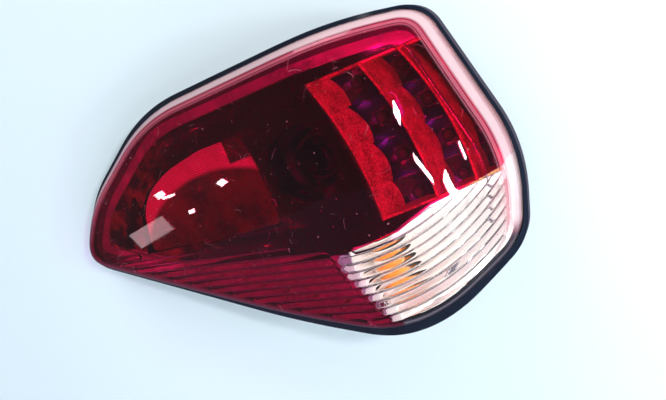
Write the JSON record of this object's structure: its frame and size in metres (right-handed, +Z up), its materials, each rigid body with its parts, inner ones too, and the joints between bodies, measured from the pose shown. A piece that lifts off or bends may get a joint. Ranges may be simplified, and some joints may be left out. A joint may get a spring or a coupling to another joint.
{
  "type": "tail light cluster",
  "caption": "Wrap-round rear corner lamp: red lens with a clear fluted window over LED cups, a reflex panel and bulb bowls, on a black housing with studs.",
  "frame": {"origin": "root of the locating dowel, on the plane where the pads meet the car body", "axes": "+Z up on the car, lens faces -Y, +Y along the dowel and studs into the body, +X from the narrow tip towards the tall side"},
  "size_m": [0.4177, 0.1446, 0.2339],
  "materials": {
    "red_lens": "gloss, red acrylic",
    "clear_lens": "gloss, clear acrylic with flutes",
    "sealant": "satin butyl bead",
    "housing_black": "gloss at the rim, fine grain behind",
    "bezel_dark": "gloss, dark red",
    "mirror_coating": "vacuum-coated mirror",
    "reflex_red": "moulded prism grid",
    "bulb_clear": "clear glass",
    "bulb_amber": "amber lacquered glass",
    "socket_grey": "matt, glass-filled",
    "seal_rubber": "matt",
    "screw_steel": "zinc plated",
    "stud_zinc": "yellow zinc",
    "foam": "closed-cell foam",
    "pin_brass": "tinned blades",
    "board_green": "solder resist",
    "led_body": "red tinted epoxy"
  },
  "bodies": {
    "root": {"outer_lens": "red_lens", "signal_window": "clear_lens", "lens_seal": "sealant", "housing": "housing_black", "bezel": "bezel_dark", "led_reflector": "mirror_coating", "reflex_panel": "reflex_red", "brake_reflector": "mirror_coating", "signal_reflector": "mirror_coating", "brake_bulb": "bulb_clear", "signal_bulb": "bulb_amber", "brake_socket": "socket_grey", "signal_socket": "socket_grey", "brake_socket_seal": "seal_rubber", "signal_socket_seal": "seal_rubber", "bezel_screws": "screw_steel", "reflector_screws": "screw_steel", "board_screws": "screw_steel", "studs": "stud_zinc", "body_gasket": "foam", "inlet_pins": "pin_brass", "vent_cap_upper": "seal_rubber", "vent_cap_lower": "seal_rubber", "led_board_1": "board_green", "led_board_2": "board_green", "led_board_3": "board_green", "led_1_1": "led_body", "led_1_2": "led_body", "led_1_3": "led_body", "led_1_4": "led_body", "led_2_1": "led_body", "led_2_2": "led_body", "led_2_3": "led_body", "led_2_4": "led_body", "led_3_1": "led_body", "led_3_2": "led_body", "led_3_3": "led_body", "led_3_4": "led_body"}
  },
  "joints": []
}
